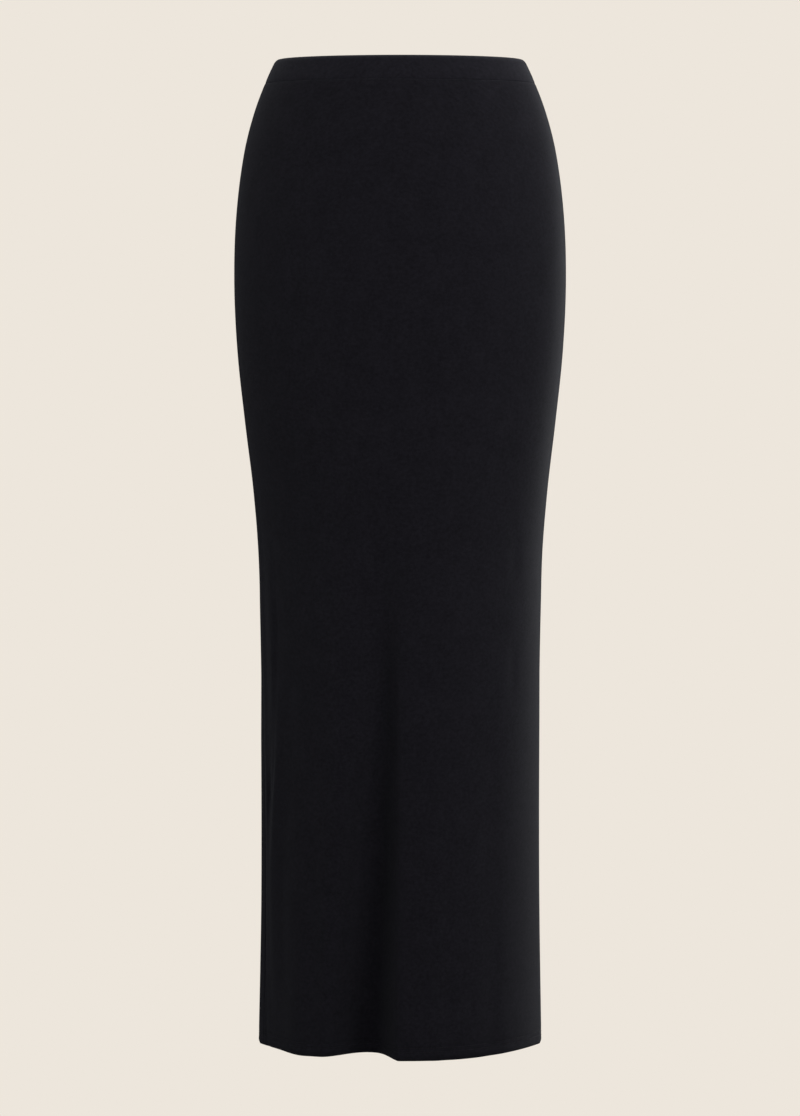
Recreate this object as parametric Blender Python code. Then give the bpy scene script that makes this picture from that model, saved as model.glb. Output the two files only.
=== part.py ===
"""Maxi skirt: a plain column skirt in fine black jersey with an elasticated waistband.

Units are metres, +Z is up and the front faces -Y. The origin is the middle of the waist
opening, level with the waistband's top edge, so every height below is a drop from it.
"""

import bpy
import numpy as np

# Driving sizes
LENGTH = 0.984            # waistband's top edge to the hem's fold, down the side
BAND_DEPTH = 0.024        # finished depth of the waistband
HEM_DEPTH = 0.014         # cloth turned up inside at the hem
CLOTH = 0.0015            # thickness of one layer of jersey
BAND = 0.0034             # two layers of jersey over the elastic
BAND_PROUD = 0.0005       # how far the band stands out from the panels' line
SEAM_GAP = 0.0003         # clear space between two pieces at a seam

COLUMNS = 48              # stations across each piece
SEAM_CROWDING = 0.30      # how much closer the stations lie at the side seams
BODY_ROWS = 25            # evenly spaced stations down each panel, hem rows apart
HEM_LEDGE = 0.0008        # height of the step where the turned-up layer begins
HEM_ROLL = 0.0010         # roundness of the hem's fold
FINE = 1440               # points on the fine ring that every station is read from
SHARP_EDGE = 50           # degrees between faces that meet at an edge and not a curve

# The skirt's form on its general figure, one row for each level below the waist's edge.
# Each quarter of a section is y = depth * (1 - |x / half_width| ** round) ** tip: round 2
# with tip 0.5 is an ellipse, and a larger tip brings the side to a point, as at a pressed seam.
LEVEL_COLUMNS = ("drop", "half_width", "front_depth", "back_depth", "round", "tip")
LEVELS = (
    (0.000, 0.1233, 0.074, 0.080, 2.00, 0.50),
    (0.025, 0.1344, 0.082, 0.088, 2.00, 0.50),
    (0.040, 0.1411, 0.086, 0.093, 2.02, 0.50),
    (0.060, 0.1478, 0.091, 0.099, 2.05, 0.51),
    (0.085, 0.1540, 0.096, 0.106, 2.07, 0.51),
    (0.110, 0.1583, 0.100, 0.112, 2.10, 0.52),
    (0.160, 0.1636, 0.106, 0.121, 2.15, 0.54),
    (0.220, 0.1653, 0.110, 0.125, 2.20, 0.56),
    (0.290, 0.1621, 0.111, 0.122, 2.20, 0.59),
    (0.360, 0.1549, 0.111, 0.116, 2.20, 0.63),
    (0.430, 0.1466, 0.110, 0.110, 2.20, 0.68),
    (0.490, 0.1419, 0.109, 0.107, 2.25, 0.73),
    (0.550, 0.1404, 0.110, 0.107, 2.30, 0.76),
    (0.700, 0.1393, 0.110, 0.107, 2.40, 0.86),
    (0.850, 0.1397, 0.110, 0.107, 2.45, 0.92),
    (LENGTH, 0.1420, 0.111, 0.108, 2.50, 0.95),
)

# The long soft folds. Each starts at a drop, deepens down to the hem and is widest there.
# Across is the fold's line from the skirt's middle, towards +X, and its two sides fall away
# over their own widths. A positive depth sinks into the skirt and a negative one stands out.
FOLD_COLUMNS = (
    "face", "start", "growth",
    "across_top", "across_hem", "left_top", "left_hem", "right_top", "right_hem", "depth",
)
FOLDS = (
    ("front", 0.505, 1.35, -0.007, -0.033, 0.018, 0.055, 0.014, 0.040, 0.052),
    ("front", 0.600, 1.20, -0.104, -0.103, 0.024, 0.030, 0.020, 0.022, -0.010),
    ("back", 0.540, 1.30, 0.020, 0.036, 0.024, 0.062, 0.024, 0.050, 0.038),
    ("back", 0.620, 1.20, -0.052, -0.062, 0.020, 0.036, 0.018, 0.034, 0.013),
    ("back", 0.600, 1.20, 0.098, 0.102, 0.022, 0.024, 0.022, 0.028, -0.007),
)

# How far each side seam has wandered round from the skirt's edge, towards the front,
# because the cloth hangs with a slight twist below the hip.
SEAM_COLUMNS = ("drop", "left", "right")
SEAMS = (
    (0.000, 0.000, 0.000),
    (0.300, 0.001, -0.001),
    (0.480, 0.005, -0.004),
    (0.640, 0.010, -0.007),
    (LENGTH, 0.014, -0.009),
)

# The waistband's soft section: how far its outer and inner faces stand in from its own line.
BAND_COLUMNS = ("drop", "outer_in", "inner_in")
BAND_SECTION = (
    (0.0000, 0.0030, 0.0046),
    (0.0010, 0.0016, BAND + 0.0020),
    (0.0040, 0.0005, BAND + 0.0012),
    (0.0100, 0.0000, BAND),
    (0.0200, 0.0000, BAND),
    (0.0234, 0.0003, BAND - 0.0003),
    (BAND_DEPTH, 0.0011, BAND - 0.0011),
)

BLACK_JERSEY = (0.0085, 0.0080, 0.0112, 1.0)
BLACK_BAND = (0.0105, 0.0100, 0.0135, 1.0)


def named_columns(names, rows):
    """A table's columns as arrays, by name."""
    return {name: np.array(column) for name, column in zip(names, zip(*rows))}


def smooth_read(table, name, drop):
    """Reads a column at a drop, on a curve with no kinks at the table's own rows."""
    stations, values = table["drop"], table[name]
    slopes = np.gradient(values, stations)
    i = int(np.clip(np.searchsorted(stations, drop) - 1, 0, len(stations) - 2))
    step = stations[i + 1] - stations[i]
    t = (drop - stations[i]) / step
    rise = t * t * (3 - 2 * t)
    leave = t * (1 - t) ** 2
    arrive = t * t * (t - 1)
    middle = values[i] * (1 - rise) + values[i + 1] * rise
    return middle + step * (leave * slopes[i] + arrive * slopes[i + 1])


def bell(offset, left, right):
    """1 on a fold's line, 0 past its sides, and level at both."""
    side = np.where(offset < 0, left, right)
    t = np.clip(np.abs(offset) / side, 0, 1)
    return 1 - t * t * (3 - 2 * t)


LEVEL = named_columns(LEVEL_COLUMNS, LEVELS)
SEAM = named_columns(SEAM_COLUMNS, SEAMS)


def fold_depth(face, x, drop):
    """How far the folds of one face push it towards the skirt's middle."""
    depth = np.zeros_like(x)
    for row in FOLDS:
        fold = dict(zip(FOLD_COLUMNS, row))
        if fold["face"] != face or drop <= fold["start"]:
            continue
        grown = (drop - fold["start"]) / (LENGTH - fold["start"])
        across, left, right = (
            fold[name + "_top"] + grown * (fold[name + "_hem"] - fold[name + "_top"])
            for name in ("across", "left", "right")
        )
        depth += fold["depth"] * grown ** fold["growth"] * bell(x - across, left, right)
    return depth


def ring(drop):
    """The skirt's outer line at a drop, from its left edge round the front to the right and back."""
    size = {name: smooth_read(LEVEL, name, drop) for name in LEVEL_COLUMNS[1:]}
    turn = np.linspace(0, 2 * np.pi, FINE, endpoint=False)
    x = -size["half_width"] * np.cos(turn)
    bulge = (1 - np.abs(np.cos(turn)) ** size["round"]) ** size["tip"]
    front = -(size["front_depth"] * bulge - fold_depth("front", x, drop))
    back = size["back_depth"] * bulge - fold_depth("back", x, drop)
    return np.column_stack((x, np.where(turn < np.pi, front, back)))


def inward(line):
    """Unit vectors square to a closed line, pointing into the skirt."""
    along = np.roll(line, -1, axis=0) - np.roll(line, 1, axis=0)
    along /= np.linalg.norm(along, axis=1)[:, None]
    return np.column_stack((-along[:, 1], along[:, 0]))


def stations(line, drop, face):
    """Places along one face, from seam to seam, as fractional steps of the fine ring."""
    steps = np.linalg.norm(np.roll(line, -1, axis=0) - line, axis=1)
    travel = np.concatenate(([0], np.cumsum(steps)))
    around = travel[-1]
    left = smooth_read(SEAM, "left", drop)
    right = travel[FINE // 2] - smooth_read(SEAM, "right", drop)
    if face == "front":
        first, last = left + SEAM_GAP / 2, right - SEAM_GAP / 2
    else:
        first, last = right + SEAM_GAP / 2, around + left - SEAM_GAP / 2
    share = np.linspace(0, 1, COLUMNS + 1)
    share -= SEAM_CROWDING * np.sin(2 * np.pi * share) / (2 * np.pi)
    wanted = first + share * (last - first)
    steps_twice = np.arange(2 * FINE + 1)
    travel_twice = np.concatenate((travel[:-1], travel + around))
    return np.interp(wanted, travel_twice, steps_twice)


def read_closed(line, places):
    """Points of a closed line at fractional steps."""
    whole = np.floor(places).astype(int)
    part = (places - whole)[:, None]
    return line[whole % FINE] * (1 - part) + line[(whole + 1) % FINE] * part


def station_row(drop, face, outer_in, inner_in):
    """One level of a piece: its outer and its inner points, set in from the ring by two amounts."""
    line = ring(drop)
    square = inward(line)
    places = stations(line, drop, face)
    points, across = read_closed(line, places), read_closed(square, places)
    height = np.full((len(points), 1), -drop)
    return (
        np.hstack((points + across * outer_in, height)),
        np.hstack((points + across * inner_in, height)),
    )


def wall(name, rows, material, collection):
    """A piece of cloth as one closed wall, lofted between its unlike outer and inner sections."""
    outer = np.array([row[0] for row in rows])
    inner = np.array([row[1] for row in rows])
    levels, across = outer.shape[:2]
    points = np.vstack((outer.reshape(-1, 3), inner.reshape(-1, 3)))

    def at(side, level, column):
        return side * levels * across + level * across + column

    faces = []
    for level in range(levels - 1):
        for column in range(across - 1):
            corners = ((level, column), (level + 1, column), (level + 1, column + 1), (level, column + 1))
            faces.append([at(0, *corner) for corner in corners])
            faces.append([at(1, *corner) for corner in reversed(corners)])
    for column in range(across - 1):
        for level, turned in ((0, False), (levels - 1, True)):
            edge = [at(0, level, column), at(0, level, column + 1), at(1, level, column + 1), at(1, level, column)]
            faces.append(edge[::-1] if turned else edge)
    for level in range(levels - 1):
        for column, turned in ((0, True), (across - 1, False)):
            edge = [at(0, level, column), at(0, level + 1, column), at(1, level + 1, column), at(1, level, column)]
            faces.append(edge[::-1] if turned else edge)

    mesh = bpy.data.meshes.new(name)
    mesh.from_pydata(points.tolist(), [], faces)
    mesh.materials.append(material)
    mesh.shade_smooth()
    mesh.set_sharp_from_angle(angle=np.radians(SHARP_EDGE))
    piece = bpy.data.objects.new(name, mesh)
    collection.objects.link(piece)
    return piece


def panel(name, face, material, collection):
    """A front or back panel: one layer down to the hem, two where the hem is turned up."""
    top = BAND_DEPTH + SEAM_GAP
    turn_up = LENGTH - HEM_DEPTH
    rows = [
        station_row(drop, face, 0, CLOTH)
        for drop in np.linspace(top, turn_up - HEM_LEDGE, BODY_ROWS)
    ]
    rows.append(station_row(turn_up, face, 0, 2 * CLOTH))
    rows.append(station_row(LENGTH - HEM_ROLL, face, 0, 2 * CLOTH))
    rows.append(station_row(LENGTH, face, HEM_ROLL, 2 * CLOTH - HEM_ROLL))
    return wall(name, rows, material, collection)


def band(name, face, material, collection):
    """Half of the waistband, between the side seams, with its edges rolled over the elastic."""
    rows = [
        station_row(drop, face, outer_in - BAND_PROUD, inner_in - BAND_PROUD)
        for drop, outer_in, inner_in in BAND_SECTION
    ]
    return wall(name, rows, material, collection)


def cloth_material(name, colour, roughness):
    """Black jersey: dark, not metallic, with a faint fibre sheen."""
    material = bpy.data.materials.new(name)
    material.use_nodes = True
    shader = material.node_tree.nodes["Principled BSDF"]
    shader.inputs["Base Color"].default_value = colour
    shader.inputs["Roughness"].default_value = roughness
    shader.inputs["Metallic"].default_value = 0.0
    shader.inputs["Sheen Weight"].default_value = 0.2
    material.diffuse_color = colour
    return material


for old in list(bpy.data.objects):
    bpy.data.objects.remove(old, do_unlink=True)

skirt = bpy.data.collections.new("maxi_skirt")
bpy.context.scene.collection.children.link(skirt)

for face in ("front", "back"):
    jersey = cloth_material(face + "_jersey", BLACK_JERSEY, 0.85)
    casing = cloth_material(face + "_casing", BLACK_BAND, 0.80)
    panel(face + "_panel", face, jersey, skirt)
    band("waistband_" + face, face, casing, skirt)
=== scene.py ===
import functools
import math

import bpy
import numpy as np
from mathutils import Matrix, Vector


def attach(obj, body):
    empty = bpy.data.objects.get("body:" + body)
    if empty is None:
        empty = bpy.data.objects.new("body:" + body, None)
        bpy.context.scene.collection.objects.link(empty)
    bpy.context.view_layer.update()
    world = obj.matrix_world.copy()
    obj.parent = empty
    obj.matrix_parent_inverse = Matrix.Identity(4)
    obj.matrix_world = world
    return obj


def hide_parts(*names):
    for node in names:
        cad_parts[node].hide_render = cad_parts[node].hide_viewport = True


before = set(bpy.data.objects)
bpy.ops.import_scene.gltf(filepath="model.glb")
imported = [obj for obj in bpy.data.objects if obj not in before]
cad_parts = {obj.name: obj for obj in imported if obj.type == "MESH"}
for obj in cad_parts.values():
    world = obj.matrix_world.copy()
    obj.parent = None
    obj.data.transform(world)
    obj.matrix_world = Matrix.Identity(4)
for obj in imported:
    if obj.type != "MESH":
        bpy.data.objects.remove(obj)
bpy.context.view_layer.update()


# The camera stands well back behind a long lens, level with the hip, and looks at the skirt's
# middle. The rows are places in the photograph, which is 800 by 1116 pixels.
PHOTO_HEIGHT = 1116
HORIZON_ROW, CENTRE_ROW = 350, 558
DISTANCE = 4.300
FOCAL_ROWS = 4305
SENSOR = 36.0
BELOW_WAIST = 0.2885
RIGHT_OF_MIDDLE = -0.0001

camera_data = bpy.data.cameras.new("camera")
camera_data.sensor_width = SENSOR
camera_data.lens = SENSOR * FOCAL_ROWS / PHOTO_HEIGHT
camera = bpy.data.objects.new("camera", camera_data)
camera.location = (RIGHT_OF_MIDDLE, -DISTANCE, -BELOW_WAIST)
look_down = math.atan((CENTRE_ROW - HORIZON_ROW) / FOCAL_ROWS)
camera.rotation_euler = (math.pi / 2 - look_down, 0, 0)
bpy.context.scene.collection.objects.link(camera)
bpy.context.scene.camera = camera
bpy.context.scene.view_settings.view_transform = "Standard"


# The studio is a seamless pale sweep: a floor far below the hem and a far wall all round, both
# evenly lit, so that no shadow or horizon shows.
PALE_SWEEP = (0.847, 0.791, 0.716, 1.0)
FLOOR_DROP = 4.0
SWEEP_RADIUS = 14.0
FLOOR_SIDES, WALL_SIDES, WALL_RINGS = 96, 64, 32
WHITE = (1.0, 1.0, 1.0, 1.0)
ROOM_GLOW = 0.05

sweep_paint = bpy.data.materials.new("pale_sweep")
sweep_paint.use_nodes = True
sweep_paint.node_tree.nodes.clear()
glow = sweep_paint.node_tree.nodes.new("ShaderNodeEmission")
glow.inputs["Color"].default_value = PALE_SWEEP
surface = sweep_paint.node_tree.nodes.new("ShaderNodeOutputMaterial")
sweep_paint.node_tree.links.new(glow.outputs[0], surface.inputs["Surface"])

bpy.ops.mesh.primitive_circle_add(
    vertices=FLOOR_SIDES, radius=SWEEP_RADIUS, fill_type="NGON", location=(0, 0, -FLOOR_DROP)
)
floor = bpy.context.object
floor.name = "studio_floor"
bpy.ops.mesh.primitive_uv_sphere_add(
    segments=WALL_SIDES, ring_count=WALL_RINGS, radius=SWEEP_RADIUS
)
wall = bpy.context.object
wall.name = "studio_wall"
for part in (floor, wall):
    part.data.materials.append(sweep_paint)
    part.visible_diffuse = part.visible_glossy = part.visible_shadow = False

world = bpy.data.worlds.new("dark_room")
world.use_nodes = True
background = world.node_tree.nodes["Background"]
background.inputs["Color"].default_value = WHITE
background.inputs["Strength"].default_value = ROOM_GLOW
bpy.context.scene.world = world


# Soft boxes light it: three from the front, three from beside and behind the right edge, two
# from the left and two from overhead. Each row gives how far round to the right and how far up
# a box is in degrees, how far away it is, its width and height, and its watts.
AIM = (0.0, 0.0, -0.45)
SOFT_BOXES = (
    ("front_right", 30, 12, 2.8, 0.8, 1.6, 16.2),
    ("front_far_right", 45, 12, 2.8, 0.8, 1.6, 12.6),
    ("front_left", -40, 12, 2.8, 0.8, 1.6, 15.3),
    ("side_right_high", 95, 38, 1.9, 0.7, 1.2, 9.9),
    ("behind_right_high", 125, 38, 1.9, 0.7, 1.2, 9.7),
    ("behind_right", 140, -7, 1.8, 0.5, 1.8, 17.0),
    ("side_left", -95, 5, 1.8, 0.5, 1.8, 3.5),
    ("behind_left_high", -125, 38, 1.9, 0.7, 1.2, 4.8),
    ("overhead", 0, 85, 1.9, 1.2, 1.2, 5.1),
    ("overhead_back", 180, 65, 1.9, 1.2, 1.2, 9.0),
)

for name, around, up, away, width, height, watts in SOFT_BOXES:
    lamp = bpy.data.lights.new(name, "AREA")
    lamp.shape = "RECTANGLE"
    lamp.size, lamp.size_y, lamp.energy = width, height, watts
    stand = bpy.data.objects.new(name, lamp)
    around, up = math.radians(around), math.radians(up)
    direction = Vector((
        math.sin(around) * math.cos(up), -math.cos(around) * math.cos(up), math.sin(up)
    ))
    stand.location = Vector(AIM) + away * direction
    stand.rotation_euler = (-direction).to_track_quat("-Z", "Y").to_euler()
    stand.visible_camera = False
    bpy.context.scene.collection.objects.link(stand)


# A string of four small globes hangs inside the skirt, so that the wrong side of the cloth and
# its sewing can be seen from above and from below. They light nothing that shows in front.
GLOBES = ((0.06, 0.14), (0.30, 0.11), (0.60, 0.09), (0.92, 0.17))
GLOBE_RADIUS = 0.04
BEHIND_MIDDLE = 0.01

for drop, watts in GLOBES:
    globe = bpy.data.lights.new("globe", "POINT")
    globe.energy, globe.shadow_soft_size = watts, GLOBE_RADIUS
    hung = bpy.data.objects.new("globe", globe)
    hung.location = (0, BEHIND_MIDDLE, -drop)
    hung.visible_camera = False
    bpy.context.scene.collection.objects.link(hung)


# The front panel is one piece of fine black jersey, cut close over the hip and straight to
# the hem, where it is turned up once inside. It hangs from the waistband in one long fold.
LENGTH = 0.985
BAND_DEPTH = 0.024
HEM_DEPTH = 0.014
JERSEY = 0.0011
SEAM_GAP = 0.0001
FINE = 2880

# The worn form at each level. Round and tip shape its outline as seen from above.
LEVEL_COLUMNS = ("drop", "half_width", "front_depth", "back_depth", "round", "tip")
LEVELS = (
    (0.000, 0.1229, 0.074, 0.080, 2.00, 0.50),
    (0.025, 0.1341, 0.082, 0.088, 2.00, 0.50),
    (0.040, 0.1401, 0.086, 0.093, 2.02, 0.50),
    (0.060, 0.1467, 0.091, 0.099, 2.05, 0.51),
    (0.085, 0.1531, 0.096, 0.106, 2.07, 0.51),
    (0.110, 0.1575, 0.100, 0.112, 2.10, 0.52),
    (0.160, 0.1630, 0.106, 0.121, 2.15, 0.54),
    (0.220, 0.1648, 0.110, 0.125, 2.20, 0.56),
    (0.290, 0.1618, 0.111, 0.122, 2.20, 0.59),
    (0.360, 0.1546, 0.111, 0.116, 2.20, 0.63),
    (0.430, 0.1465, 0.110, 0.110, 2.20, 0.68),
    (0.490, 0.1418, 0.109, 0.107, 2.25, 0.73),
    (0.550, 0.1402, 0.110, 0.107, 2.30, 0.76),
    (0.700, 0.1393, 0.110, 0.107, 2.40, 0.86),
    (0.850, 0.1401, 0.110, 0.107, 2.45, 0.92),
    (LENGTH, 0.1425, 0.111, 0.108, 2.50, 0.95),
)
# Long folds. Each starts at a drop, and its line, its widths and its depth change from there to
# the hem. A negative depth stands out.
FOLD_COLUMNS = (
    "face", "start", "growth", "spread", "flatness",
    "across_top", "across_hem", "left_top", "left_hem", "right_top", "right_hem", "depth",
)
FOLDS = (
    ("front", 0.420, 1.10, 2.4, 1.5, -0.0225, -0.0309, 0.037, 0.0545, 0.0250, 0.0290, 0.052),
    ("front", 0.600, 1.20, 1.0, 1.0, -0.104, -0.103, 0.024, 0.030, 0.020, 0.022, -0.010),
    ("back", 0.520, 1.30, 1.4, 1.3, 0.020, 0.036, 0.024, 0.062, 0.020, 0.050, 0.038),
    ("back", 0.620, 1.20, 1.0, 1.0, -0.052, -0.062, 0.020, 0.036, 0.018, 0.034, 0.013),
    ("back", 0.600, 1.20, 1.0, 1.0, 0.098, 0.102, 0.022, 0.024, 0.022, 0.028, -0.007),
)
# How far each side seam lies round from the edge, along the cloth from left to right.
SEAM_COLUMNS = ("drop", "left", "right")
SEAMS = (
    (0.000, 0.000, 0.000),
    (0.300, 0.001, -0.001),
    (0.480, 0.005, -0.004),
    (0.640, 0.010, -0.007),
    (LENGTH, 0.014, -0.009),
)
LEVEL = dict(zip(LEVEL_COLUMNS, np.array(LEVELS).T))
SEAM = dict(zip(SEAM_COLUMNS, np.array(SEAMS).T))


def smooth_read(stations, values, at):
    """Reads a table at one place, on a curve with no kinks at its rows."""
    slopes = np.gradient(values, stations)
    i = int(np.clip(np.searchsorted(stations, at) - 1, 0, len(stations) - 2))
    step = stations[i + 1] - stations[i]
    t = (at - stations[i]) / step
    rise = t * t * (3 - 2 * t)
    middle = values[i] * (1 - rise) + values[i + 1] * rise
    return middle + step * (t * (1 - t) ** 2 * slopes[i] + t * t * (t - 1) * slopes[i + 1])


def bell(offset, left, right, flatness=1.0):
    """1 on a fold's line, 0 past its sides, and level at both. Flatness fills the right side."""
    side = np.where(offset < 0, left, right)
    t = np.clip(np.abs(offset) / side, 0, 1) ** np.where(offset < 0, 1, flatness)
    return 1 - t * t * (3 - 2 * t)


def fold_depth(face, x, drop):
    """How far the long folds of one face push it towards the skirt's middle."""
    depth = np.zeros_like(x)
    for row in FOLDS:
        fold = dict(zip(FOLD_COLUMNS, row))
        if fold["face"] == face and drop > fold["start"]:
            grown = (drop - fold["start"]) / (LENGTH - fold["start"])
            opened = grown ** fold["spread"]
            across, left, right = (
                fold[name + "_top"] + opened * (fold[name + "_hem"] - fold[name + "_top"])
                for name in ("across", "left", "right")
            )
            shape = bell(x - across, left, right, fold["flatness"])
            depth += fold["depth"] * grown ** fold["growth"] * shape
    return depth


@functools.lru_cache(maxsize=8)
def ring(drop):
    """The cloth's line round the skirt at a drop, and its inward side.

    The line starts at the left edge and goes over the front.
    """
    size = {name: smooth_read(LEVEL["drop"], LEVEL[name], drop) for name in LEVEL_COLUMNS[1:]}
    turn = np.linspace(0, 2 * np.pi, FINE, endpoint=False)
    x = -size["half_width"] * np.cos(turn)
    bulge = (1 - np.abs(np.cos(turn)) ** size["round"]) ** size["tip"]
    front = -(size["front_depth"] * bulge - fold_depth("front", x, drop))
    back = size["back_depth"] * bulge - fold_depth("back", x, drop)
    line = np.column_stack((x, np.where(turn < np.pi, front, back)))
    along = np.roll(line, -1, axis=0) - np.roll(line, 1, axis=0)
    along /= np.linalg.norm(along, axis=1)[:, None]
    return line, np.column_stack((-along[:, 1], along[:, 0]))


@functools.lru_cache(maxsize=8)
def face_run(face, drop):
    """One face at a drop: its width, and its line and inward side as functions.

    Both functions take distances from the left seam.
    """
    line, inward = ring(drop)
    steps = np.linalg.norm(np.roll(line, -1, axis=0) - line, axis=1)
    travel = np.concatenate(([0], np.cumsum(steps[:-1])))
    around = travel[-1] + steps[-1]
    left = smooth_read(SEAM["drop"], SEAM["left"], drop)
    right = travel[FINE // 2] - smooth_read(SEAM["drop"], SEAM["right"], drop)
    if face == "front":
        width, first, turn = right - left - SEAM_GAP, left + SEAM_GAP / 2, 1
    else:
        width, first, turn = around + left - right - SEAM_GAP, left - SEAM_GAP / 2, -1

    def read(values, from_left):
        at = first + turn * from_left
        return np.column_stack([
            np.interp(at, travel, values[:, axis], period=around) for axis in (0, 1)
        ])

    return width, lambda from_left: read(line, from_left), lambda from_left: read(inward, from_left)


# Creases in the jersey: each follows a path of (drop, place across), stands out by its
# height, and falls away over its left and right widths. A negative height sinks, and a path that
# ends below the hem runs off it.
CREASE_COLUMNS = ("face", "height", "left", "right", "path")
CREASES = (
    ("front", 0.0022, 0.0210, 0.0060, (
        (0.470, -0.1296), (0.540, -0.1266), (0.590, -0.1247), (0.640, -0.1244), (0.680, -0.1246),
        (0.720, -0.1256),
    )),
    ("front", -0.0007, 0.0040, 0.0040, ((0.540, -0.1236), (0.600, -0.1230), (0.690, -0.1250))),
    ("front", 0.0032, 0.0190, 0.0220, (
        (0.570, -0.1178), (0.640, -0.1184), (0.700, -0.1196), (0.740, -0.1218), (0.780, -0.1240),
        (0.820, -0.1255), (0.860, -0.1250), (0.900, -0.1243), (0.945, -0.1228), (0.990, -0.1210),
    )),
    ("front", 0.0014, 0.0070, 0.0100, (
        (0.600, -0.1208), (0.660, -0.1198), (0.700, -0.1204), (0.740, -0.1230), (0.780, -0.1250),
        (0.810, -0.1262),
    )),
    ("front", 0.0008, 0.0050, 0.0035, ((0.675, -0.1248), (0.705, -0.1262), (0.735, -0.1275))),
    ("front", -0.0012, 0.0075, 0.0075, (
        (0.670, -0.1352), (0.790, -0.1350), (0.985, -0.1342), (1.300, -0.1342),
    )),
    ("front", -0.0009, 0.0260, 0.0300, ((0.850, -0.1200), (0.985, -0.1210), (1.100, -0.1210))),
    ("front", -0.0022, 0.0040, 0.0036, ((0.705, -0.1290), (0.727, -0.1304), (0.760, -0.1312))),
    ("front", 0.0008, 0.0090, 0.0090, (
        (0.620, 0.0350), (0.800, 0.0356), (0.985, 0.0350), (1.350, 0.0350),
    )),
    ("front", -0.0006, 0.0075, 0.0075, (
        (0.640, 0.0485), (0.820, 0.0480), (0.985, 0.0470), (1.330, 0.0470),
    )),
    ("front", -0.0008, 0.0180, 0.0180, (
        (0.590, 0.0850), (0.760, 0.0880), (0.985, 0.0900), (1.380, 0.0900),
    )),
    ("front", -0.0005, 0.0140, 0.0140, ((0.450, 0.1120), (0.490, 0.1135), (0.530, 0.1130))),
    ("front", -0.0005, 0.0120, 0.0120, ((0.570, 0.1110), (0.605, 0.1120), (0.640, 0.1105))),
    ("front", 0.0004, 0.0160, 0.0160, (
        (0.700, -0.0760), (0.840, -0.0740), (0.985, -0.0780), (1.270, -0.0780),
    )),
    ("back", 0.0009, 0.0055, 0.0055, (
        (0.690, 0.1300), (0.780, 0.1275), (0.880, 0.1270), (0.985, 0.1285), (1.280, 0.1285),
    )),
    ("back", -0.0007, 0.0045, 0.0045, ((0.540, 0.1265), (0.620, 0.1250), (0.700, 0.1272))),
    ("back", -0.0009, 0.0180, 0.0180, (
        (0.600, -0.0900), (0.760, -0.0930), (0.985, -0.0960), (1.370, -0.0960),
    )),
    ("back", 0.0006, 0.0110, 0.0110, (
        (0.660, -0.0220), (0.820, -0.0240), (0.985, -0.0200), (1.310, -0.0200),
    )),
    ("back", -0.0006, 0.0150, 0.0150, ((0.420, -0.1080), (0.465, -0.1110), (0.510, -0.1090))),
    ("back", -0.0007, 0.0160, 0.0160, ((0.330, -0.0750), (0.362, -0.0450), (0.392, 0.0050))),
)
SEAM_ROLL = 0.0004
WAIST_ROLL = 0.00025
SEAM_ROLL_REACH = 0.0013
ALLOWANCE = 0.008
ALLOWANCE_RIDGE = 0.0006
RIDGE_FULL, RIDGE_FADE = 0.6 * ALLOWANCE, 0.7 * ALLOWANCE
HEM_ROWS = (0.0132, 0.0092)
HEM_NIP = 0.0003
HEM_NIP_REACH = 0.0012
HEM_ROLL = 0.0016
HEM_ROLL_REACH = 0.0026
READINGS = 400


def relief(face, drop, from_left, width, line):
    """How far the cloth stands out from the form.

    Creases and the seam allowances beneath lift it. Seams, the hem's stitching and the rolled
    edge of the hem draw it in.
    """
    out = np.zeros_like(from_left)
    places_across = np.linspace(0, width, READINGS)
    across = line(places_across)[:, 0]
    for row in CREASES:
        crease = dict(zip(CREASE_COLUMNS, row))
        drops, places = np.array(crease["path"]).T
        if crease["face"] != face or not drops[0] <= drop <= drops[-1]:
            continue
        along = (drop - drops[0]) / (drops[-1] - drops[0])
        strength = math.sin(math.pi * along)
        centre = np.interp(smooth_read(drops, places, drop), across, places_across)
        shape = bell(from_left - centre, crease["left"], crease["right"])
        out += crease["height"] * strength * shape
    nearest = np.minimum(from_left, width - from_left)
    out -= SEAM_ROLL * np.exp(-((nearest / SEAM_ROLL_REACH) ** 2))
    if face == "front":
        out += ALLOWANCE_RIDGE * bell(np.maximum(nearest - RIDGE_FULL, 0), 1, RIDGE_FADE)
    above_hem = LENGTH - drop
    for row in HEM_ROWS:
        out -= HEM_NIP * math.exp(-(((above_hem - row) / HEM_NIP_REACH) ** 2))
    out -= HEM_ROLL * math.exp(-((above_hem / HEM_ROLL_REACH) ** 2))
    below_band = drop - BAND_DEPTH
    out -= WAIST_ROLL * math.exp(-((below_band / SEAM_ROLL_REACH) ** 2))
    return out


NEAR_SEAM = np.array((0.0, 0.0004, 0.0009, 0.0015, 0.0023, 0.0034, 0.0050, 0.0072))
MIDDLE_COLUMNS = 104


def columns(width):
    """Distances from the left seam: close together at both seams and even between them."""
    middle = np.linspace(NEAR_SEAM[-1], width - NEAR_SEAM[-1], MIDDLE_COLUMNS + 1)[1:-1]
    return np.concatenate((NEAR_SEAM, middle, width - NEAR_SEAM[::-1]))


def on_cloth(face, drop, from_left, depth):
    """Points of one face at a drop, so deep under the cloth's outer side."""
    width, line, inward = face_run(face, drop)
    out = relief(face, drop, from_left, width, line)
    across = line(from_left) + inward(from_left) * (depth - out)[:, None]
    return np.column_stack((across, np.full_like(from_left, -drop)))


def cloth_row(face, drop, outer_in, inner_in):
    """One row of a piece: outer points, inner points, and each point's place on the flat cloth."""
    width = face_run(face, drop)[0]
    from_left = columns(width)
    to_seam = np.minimum(from_left, width - from_left)
    flat = np.column_stack((from_left - width / 2, np.full_like(from_left, drop), to_seam))
    outer, inner = (on_cloth(face, drop, from_left, depth) for depth in (outer_in, inner_in))
    return outer, inner, flat


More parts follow.
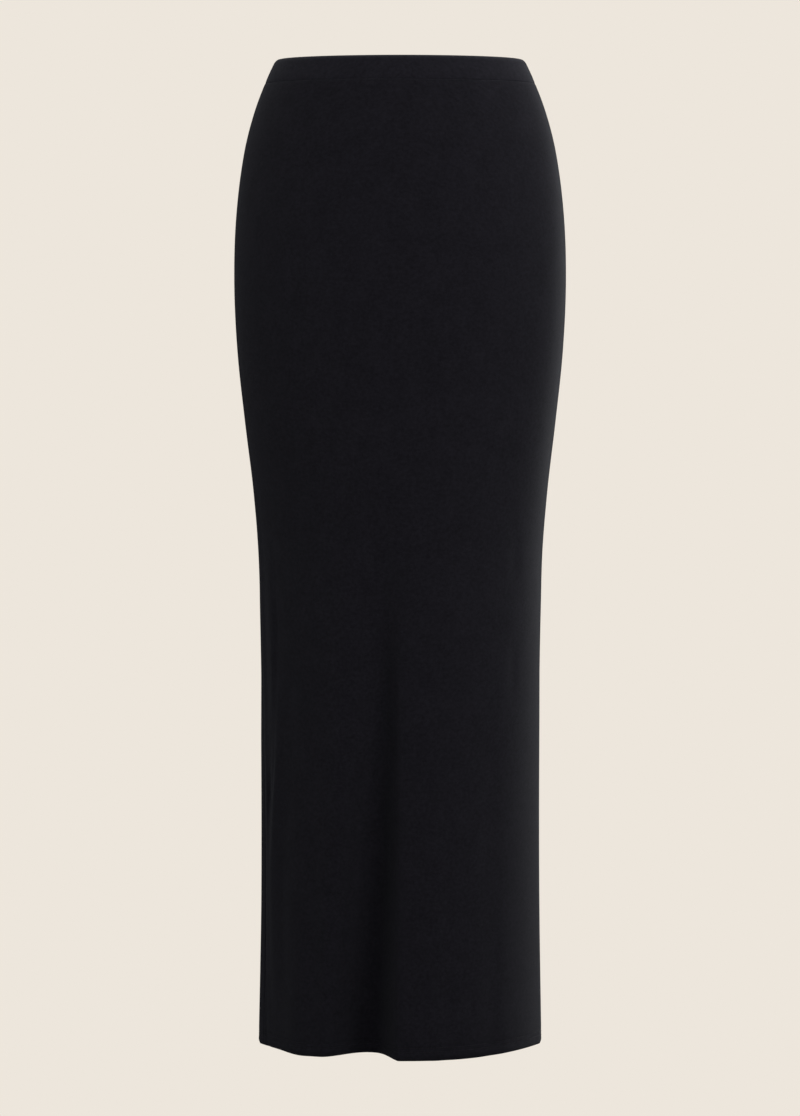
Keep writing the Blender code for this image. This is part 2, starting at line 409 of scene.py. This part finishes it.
def sewn_shell(name, rows, material):
    """A piece of cloth as one thin closed shell between its outer and inner rows."""
    outer, inner, flat = (np.array(part) for part in zip(*rows))
    levels, across = outer.shape[:2]
    index = np.arange(levels * across).reshape(levels, across)
    inside = index + levels * across
    quads = [
        np.stack((index[:-1, :-1], index[1:, :-1], index[1:, 1:], index[:-1, 1:]), axis=-1),
        np.stack((inside[:-1, :-1], inside[:-1, 1:], inside[1:, 1:], inside[1:, :-1]), axis=-1),
        np.stack((index[0, :-1], index[0, 1:], inside[0, 1:], inside[0, :-1]), axis=-1),
        np.stack((index[-1, 1:], index[-1, :-1], inside[-1, :-1], inside[-1, 1:]), axis=-1),
        np.stack((index[1:, 0], index[:-1, 0], inside[:-1, 0], inside[1:, 0]), axis=-1),
        np.stack((index[:-1, -1], index[1:, -1], inside[1:, -1], inside[:-1, -1]), axis=-1),
    ]
    faces = np.concatenate([part.reshape(-1, 4) for part in quads])
    down, sideways, inward = (
        corner - outer[0, 0] for corner in (outer[1, 0], outer[0, 1], inner[0, 0])
    )
    if np.cross(down, sideways) @ inward > 0:
        faces = faces[:, ::-1]
    mesh = bpy.data.meshes.new(name)
    points = np.concatenate((outer.reshape(-1, 3), inner.reshape(-1, 3)))
    mesh.from_pydata(points, [], faces.tolist())
    cloth = mesh.attributes.new("cloth", "FLOAT_VECTOR", "POINT")
    cloth.data.foreach_set("vector", np.concatenate((flat, flat)).ravel().astype(np.float32))
    mesh.materials.append(material)
    mesh.shade_smooth()
    piece = bpy.data.objects.new(name, mesh)
    bpy.context.scene.collection.objects.link(piece)
    return piece


class Wire:
    """A value in a material: arithmetic on it adds the Math nodes it needs."""

    def __init__(self, tree, socket):
        self.tree, self.socket = tree, socket

    def node(self, kind, settings, inputs, output=0):
        """Adds any node: its settings first, then what its sockets hold or are joined to."""
        made = self.tree.nodes.new("ShaderNode" + kind)
        for setting, value in settings.items():
            setattr(made, setting, value)
        for socket, value in inputs.items():
            if isinstance(value, Wire):
                self.tree.links.new(value.socket, made.inputs[socket])
            else:
                made.inputs[socket].default_value = value
        return Wire(self.tree, made.outputs[output])

    def math(self, operation, *values):
        return self.node("Math", {"operation": operation}, dict(enumerate((self,) + values)))

    def __add__(self, other):
        return self.math("ADD", other)

    __radd__ = __add__

    def __mul__(self, other):
        return self.math("MULTIPLY", other)

    __rmul__ = __mul__

    def __sub__(self, other):
        return self.math("SUBTRACT", other)

    def __rsub__(self, other):
        return self * -1.0 + other

    def __truediv__(self, other):
        return self.math("DIVIDE", other)


WALE, COURSE, STITCH_SLANT = 0.00085, 0.00066, 1.1
SHADE_RANGE = 0.55
MOTTLE_DRAWN = (0.7, 1.3, 1.0)
MOTTLE = {"Scale": 230.0, "Detail": 2.0, "Roughness": 0.7}
PATCHES = {"Scale": 40.0, "Detail": 2.0, "Roughness": 0.5}
PRESSED_REACH = 0.011
JERSEY_ROUGHNESS = 0.64
KNIT_RELIEF = {"Distance": 0.00012, "Strength": 0.5}
NAP = {
    "Metallic": 0.0,
    "Specular IOR Level": 0.008,
    "Sheen Weight": 0.064,
    "Sheen Roughness": 0.55,
    "Sheen Tint": (0.90, 0.95, 1.0, 1.0),
}


def jersey_material(name, colour):
    """Fine black jersey: rows of small V stitches, a faint mottling of the dye, and a soft nap.

    The gaps between the stitches are coloured darker: painted shade.
    """
    material = bpy.data.materials.new(name)
    material.use_nodes = True
    tree = material.node_tree
    shader = tree.nodes["Principled BSDF"]
    start = Wire(tree, None)
    cloth = start.node("Attribute", {"attribute_name": "cloth"}, {}, "Vector")
    across, drop, to_seam = (start.node("SeparateXYZ", {}, {0: cloth}, axis) for axis in "XYZ")

    wale = ((across / WALE).math("FRACT") - 0.5).math("ABSOLUTE")
    stitch = ((drop / COURSE + wale * STITCH_SLANT).math("FRACT") - 0.5).math("ABSOLUTE")
    knit = 1 - wale - stitch

    drawn = start.node("VectorMath", {"operation": "MULTIPLY"}, {0: cloth, 1: MOTTLE_DRAWN})
    mottle = start.node("TexNoise", {}, {"Vector": drawn, **MOTTLE})
    patch = start.node("TexNoise", {}, {"Vector": cloth, **PATCHES})
    pressed = (1 - to_seam / PRESSED_REACH).math("MAXIMUM", 0.0)
    # Painted shade: the knit term colours the gaps between stitches darker. The noises are uneven
    # dye.
    shade = (mottle * 0.9 + patch * 0.3 + knit * 0.08 - 0.14).math("MAXIMUM", 0.0)
    dark, light = ([c * (1 + side * SHADE_RANGE) for c in colour] + [1.0] for side in (-1, 1))
    dyed_and_shaded = start.node("Mix", {"data_type": "RGBA"}, {0: shade, 6: dark, 7: light}, 2)
    tree.links.new(dyed_and_shaded.socket, shader.inputs["Base Color"])
    rough = JERSEY_ROUGHNESS + mottle * 0.12 - pressed * 0.08
    tree.links.new(rough.socket, shader.inputs["Roughness"])
    bump = start.node("Bump", {}, {"Height": knit + mottle * 0.8, **KNIT_RELIEF}, "Normal")
    tree.links.new(bump.socket, shader.inputs["Normal"])
    for socket, value in NAP.items():
        shader.inputs[socket].default_value = value
    return material


jersey = jersey_material("black_jersey", (0.0142, 0.0134, 0.0177))


BELOW_SEAM = np.array((0.0, 0.0005, 0.0011, 0.0019, 0.0030, 0.0045, 0.0065))
BODY_ROWS, TURN_UP_ROWS = 232, 12
TURN_UP_STEP = 0.0006
HEM_TURNS = (30, 55, 75, 90)
NEARLY_SHUT = 0.98


def panel_rows(face):
    """A panel's rows from the waist seam to the hem's fold, where the cloth turns up inside."""
    top, turn_up = BAND_DEPTH + SEAM_GAP, LENGTH - HEM_DEPTH
    upper = top + BELOW_SEAM
    body = np.linspace(upper[-1], turn_up - TURN_UP_STEP, BODY_ROWS)[1:]
    rows = [cloth_row(face, drop, 0, JERSEY) for drop in np.concatenate((upper, body))]
    fold = LENGTH - JERSEY
    for drop in np.linspace(turn_up, fold, TURN_UP_ROWS):
        rows.append(cloth_row(face, drop, 0, 2 * JERSEY))
    for turn in np.radians(HEM_TURNS):
        rolled = JERSEY * (1 - math.cos(turn))
        inner = 2 * JERSEY - rolled * NEARLY_SHUT
        rows.append(cloth_row(face, fold + JERSEY * math.sin(turn), rolled, inner))
    return rows


front_panel = sewn_shell("front_panel_cloth", panel_rows("front"), jersey)
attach(front_panel, "root")
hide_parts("front_panel")


# The back panel is cut from the same jersey, a little wider at the seat, and hangs in two
# softer folds. It meets the front panel at the side seams.
back_panel = sewn_shell("back_panel_cloth", panel_rows("back"), jersey)
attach(back_panel, "root")
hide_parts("back_panel")


# The waistband is a strip of the same jersey, folded double over a wide elastic and sewn to
# the panels, and is drawn smooth by the elastic. It is painted a shade lighter than the skirt
# below it: painted light, for the light from above that falls on the top of the skirt.
BAND = 0.0032
BAND_TOP_ROLL = 0.0048
BAND_TOP_INSET = 0.0036
BAND_TOP_PLUMP, BAND_TOP_SHUT = 0.0012, 0.0008
BAND_TOP_TURNS = (90, 74, 58, 42, 26, 12)
BAND_BULGE = 0.0002
BAND_ROWS = 12
BAND_EDGE_ROLL = 0.0003
BAND_EDGE_TURNS = (30, 60, 85)

# Painted light: the band's jersey is coloured a shade lighter than the skirt's, for light from
# above.
band_jersey_painted_lighter = jersey_material("waistband_jersey_painted_lighter", (0.0168, 0.0159, 0.0210))


def band_rows(face):
    """The waistband's rows from its top fold to its seam, with both edges rolled."""
    rows = []
    for turn in np.radians(BAND_TOP_TURNS):
        rolled = 1 - math.cos(turn)
        inner = BAND + BAND_TOP_PLUMP - (BAND + BAND_TOP_SHUT - BAND_TOP_INSET) * rolled
        rows.append((BAND_TOP_ROLL * (1 - math.sin(turn)), BAND_TOP_INSET * rolled, inner))
    for drop in np.linspace(BAND_TOP_ROLL, BAND_DEPTH - BAND_EDGE_ROLL, BAND_ROWS):
        share = (drop - BAND_TOP_ROLL) / (BAND_DEPTH - BAND_TOP_ROLL)
        outer = -BAND_BULGE * math.sin(math.pi * share)
        rows.append((drop, outer, BAND + BAND_TOP_PLUMP * (1 - share) ** 3))
    for turn in np.radians(BAND_EDGE_TURNS):
        rolled = BAND_EDGE_ROLL * (1 - math.cos(turn))
        rows.append((BAND_DEPTH - BAND_EDGE_ROLL * (1 - math.sin(turn)), rolled, BAND - rolled))
    return [cloth_row(face, *row) for row in rows]


for face in ("front", "back"):
    band = sewn_shell(f"waistband_{face}_cloth", band_rows(face), band_jersey_painted_lighter)
    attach(band, "root")
    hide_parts("waistband_" + face)


# The side seams join front and back. Their two raw edges are overlocked together inside and
# pressed towards the front, so that a soft ridge shows beside each seam.
PRESSED_PLY = 0.0009
PLIES = 2 * PRESSED_PLY
EDGE_PROFILE = np.array((0.6, 0.9, 1.0, 1.0, 1.0, 0.95, 0.7))
OVERLOCK_STITCH = 0.0026
THREAD = 0.00014
FIBRES = {"Scale": 3200.0, "Detail": 2.0}
FIBRE_RELIEF = {"Distance": 0.00003, "Strength": 0.6}
FIBRE_SHADES = (0.7, 1.3)
THREAD_ROUGHNESS = 0.45
THREAD_SHINE = 0.12


def thread_material(name, colour):
    """Spun polyester thread: fine twisted fibres with a slight shine."""
    material = bpy.data.materials.new(name)
    material.use_nodes = True
    tree = material.node_tree
    shader = tree.nodes["Principled BSDF"]
    start = Wire(tree, None)
    place = start.node("TexCoord", {}, {}, "Object")
    fibres = start.node("TexNoise", {}, {"Vector": place, **FIBRES})
    dark, light = ([c * share for c in colour] + [1.0] for share in FIBRE_SHADES)
    spun = start.node("Mix", {"data_type": "RGBA"}, {0: fibres, 6: dark, 7: light}, 2)
    tree.links.new(spun.socket, shader.inputs["Base Color"])
    tree.links.new((THREAD_ROUGHNESS + fibres * 0.2).socket, shader.inputs["Roughness"])
    bump = start.node("Bump", {}, {"Height": fibres, **FIBRE_RELIEF}, "Normal")
    tree.links.new(bump.socket, shader.inputs["Normal"])
    shader.inputs["Specular IOR Level"].default_value = THREAD_SHINE
    return material


black_thread = thread_material("black_thread", (0.0175, 0.0168, 0.0205))


def sewn_thread(name, lines):
    """Threads along lines of points, as one mesh of thin round tubes."""
    curve = bpy.data.curves.new(name, "CURVE")
    curve.dimensions = "3D"
    curve.bevel_depth, curve.bevel_resolution = THREAD, 0
    curve.use_fill_caps = True
    for points in lines:
        spline = curve.splines.new("POLY")
        spline.points.add(len(points) - 1)
        spline.points.foreach_set("co", np.column_stack((points, np.ones(len(points)))).ravel())
    laid = bpy.data.objects.new(name + "_line", curve)
    bpy.context.scene.collection.objects.link(laid)
    mesh = bpy.data.meshes.new_from_object(laid)
    bpy.data.objects.remove(laid, do_unlink=True)
    bpy.data.curves.remove(curve)
    mesh.materials.clear()
    mesh.materials.append(black_thread)
    mesh.shade_smooth()
    sewn = bpy.data.objects.new(name, mesh)
    bpy.context.scene.collection.objects.link(sewn)
    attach(sewn, "root")
    return sewn


def from_side(side, from_seam, drop):
    """Distances from the left seam of the front panel, given those from one of its seams."""
    return from_seam if side == "left" else face_run("front", drop)[0] - from_seam


UNDER = JERSEY + SEAM_GAP
OVER = UNDER + PLIES + THREAD


def overlock_loop(start, allowance):
    """One loop over a raw edge: how far from the seam, share of the stitch's length, and depth."""
    near_edge, past_edge = allowance - 0.0004, allowance + 0.0002
    return (
        (start, 0.00, OVER),
        (near_edge, 0.34, OVER),
        (past_edge, 0.45, OVER - PLIES / 2),
        (past_edge, 0.55, OVER - PLIES / 2),
        (near_edge, 0.66, OVER),
    )


INTO_SEAM = 0.0010
LOOP_START = 0.0018
SEAM_TOP, SEAM_BOTTOM = BAND_DEPTH + 0.0085, LENGTH - HEM_DEPTH - 0.0005
SEAM_ROWS = 230
NOT_PRESSED = 0.02

edge_rows, loopers = {"left": [], "right": []}, {"left": [], "right": []}
from_seam = np.linspace(-INTO_SEAM, ALLOWANCE, len(EDGE_PROFILE))
to_seam = np.full_like(from_seam, NOT_PRESSED)
for drop in np.linspace(SEAM_TOP, SEAM_BOTTOM, SEAM_ROWS):
    for side in edge_rows:
        across = from_side(side, from_seam, drop)
        flat = np.column_stack((from_seam, np.full_like(from_seam, drop), to_seam))
        outer = on_cloth("front", drop, across, UNDER)
        inner = on_cloth("front", drop, across, UNDER + PLIES * EDGE_PROFILE)
        edge_rows[side].append((outer, inner, flat))
for first in np.arange(SEAM_TOP, SEAM_BOTTOM - OVERLOCK_STITCH, OVERLOCK_STITCH):
    for reach, share, depth in overlock_loop(LOOP_START, ALLOWANCE):
        drop = first + share * OVERLOCK_STITCH
        for side in loopers:
            across = from_side(side, np.array((reach,)), drop)
            loopers[side].append(on_cloth("front", drop, across, depth)[0])
for side in edge_rows:
    edges = sewn_shell(f"side_seam_allowance_{side}", edge_rows[side], jersey)
    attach(edges, "root")
    sewn_thread(f"side_seam_overlock_{side}", [loopers[side]])


# The waistband seam is overlocked too: three raw edges together, turned down inside the skirt,
# with no stitch showing outside.
WAIST_START, WAIST_ALLOWANCE = 0.0012, 0.0070
WAIST_LOOP_START = 0.0022
SIDE_CLEARANCE = 0.0015

for face in ("front", "back"):
    drops = BAND_DEPTH + np.linspace(WAIST_START, WAIST_ALLOWANCE, len(EDGE_PROFILE))
    rows = [
        cloth_row(face, drop, UNDER, UNDER + PLIES * ply) for drop, ply in zip(drops, EDGE_PROFILE)
    ]
    edges = sewn_shell(f"waist_seam_allowance_{face}", rows, jersey)
    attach(edges, "root")
    width = face_run(face, BAND_DEPTH)[0] - 2 * SIDE_CLEARANCE
    starts = SIDE_CLEARANCE + np.arange(round(width / OVERLOCK_STITCH)) * OVERLOCK_STITCH
    passes = [
        on_cloth(face, BAND_DEPTH + down, starts + share * OVERLOCK_STITCH, depth)
        for down, share, depth in overlock_loop(WAIST_LOOP_START, WAIST_ALLOWANCE)
    ]
    sewn_thread(f"waist_seam_overlock_{face}", [np.stack(passes, axis=1).reshape(-1, 3)])


# The hem is held by a twin needle: two rows of short stitches outside, and a looper thread
# that zigzags between them inside, just below the turned-up raw edge.
HEM_STITCH = 0.0028
STITCH_SHARES = np.array((0.0, 0.10, 0.30, 0.65, 0.85, 0.95))
STITCH_DEPTHS = (0.0005, 0.0, -0.00016, -0.00016, 0.0, 0.0005)
HEM_END = 0.001

for face in ("front", "back"):
    lines = []
    for above in HEM_ROWS:
        drop = LENGTH - above
        width = face_run(face, drop)[0]
        count = round((width - 2 * HEM_END) / HEM_STITCH)
        stitches = (np.arange(count)[:, None] + STITCH_SHARES) * (width - 2 * HEM_END) / count
        depths = np.tile(STITCH_DEPTHS, count)
        lines.append(on_cloth(face, drop, HEM_END + stitches.ravel(), depths))
    over_hem = 2 * JERSEY + THREAD
    upper, lower = (
        on_cloth(face, LENGTH - above, HEM_END + (np.arange(count) + shift) * HEM_STITCH, over_hem)
        for above, shift in zip(HEM_ROWS, (0.0, 0.5))
    )
    lines.append(np.stack((upper, lower), axis=1).reshape(-1, 3))
    sewn_thread(f"hem_stitching_{face}", lines)
